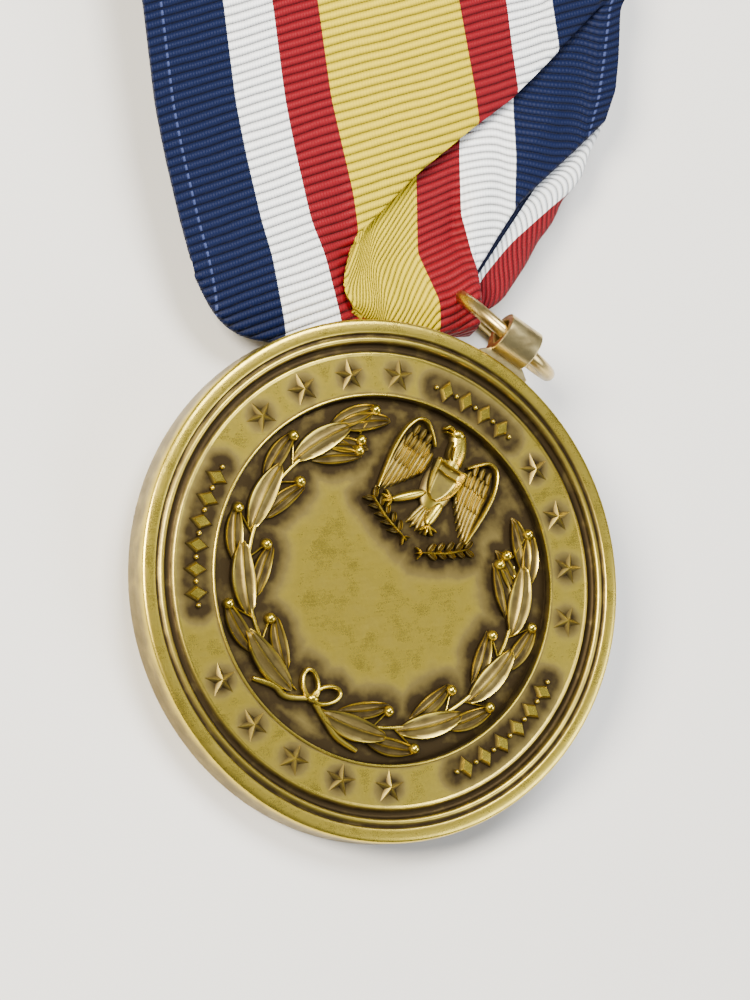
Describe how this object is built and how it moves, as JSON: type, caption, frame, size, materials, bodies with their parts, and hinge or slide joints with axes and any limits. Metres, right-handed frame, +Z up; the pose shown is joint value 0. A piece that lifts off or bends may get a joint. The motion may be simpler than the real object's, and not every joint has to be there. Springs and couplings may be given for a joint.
{
  "type": "service medal",
  "caption": "Full-size service medal: a struck bronze disc on a rolled lug and jump ring, hung from a looped grosgrain ribbon with a pin-back suspension bar.",
  "frame": {"origin": "middle of the part's box, on the surface that it lies on", "axes": "+Z up, out of the medal's front, +Y along the ribbon from the ring to the suspension bar, +X along the bar to the wearer's left"},
  "size_m": [0.0434, 0.0798, 0.0083],
  "materials": {
    "bronze": "antiqued, struck",
    "lug_brass": "polished, toned",
    "ring_brass": "polished",
    "ribbon": "ribbed grosgrain in seven stripes",
    "bar_brass": "satin sheet",
    "pin_wire": "drawn wire"
  },
  "bodies": {
    "hanger": {"ribbon": "ribbon", "brooch_bar": "bar_brass", "pin_joint": "bar_brass", "pin_rivet": "bar_brass", "catch_base": "bar_brass"},
    "ring": {"jump_ring": "ring_brass"},
    "medal": {"medal_disc": "bronze", "suspension_lug": "lug_brass"},
    "pin": {"pin_stem": "pin_wire"},
    "catch": {"catch_rotor": "bar_brass"}
  },
  "joints": [
    {"name": "sideways_swing", "type": "hinge", "parent": "hanger", "child": "ring", "pos_m": [0.00395, -0.00649, 0.00377], "axis": [0, 0, 1], "range_deg": [0, 60]},
    {"name": "medal_tilt", "type": "hinge", "parent": "ring", "child": "medal", "pos_m": [0.0052, -0.01056, 0.00705], "axis": [-0.788, 0.6157, 0], "range_deg": [0, 110]},
    {"name": "pin_open", "type": "hinge", "parent": "hanger", "child": "pin", "pos_m": [-0.00961, 0.03627, 0.00172], "axis": [0, 1, 0], "range_deg": [0, 100]},
    {"name": "catch_turn", "type": "hinge", "parent": "hanger", "child": "catch", "pos_m": [0.01639, 0.03627, 0.00172], "axis": [1, 0, 0], "range_deg": [0, 110]}
  ]
}
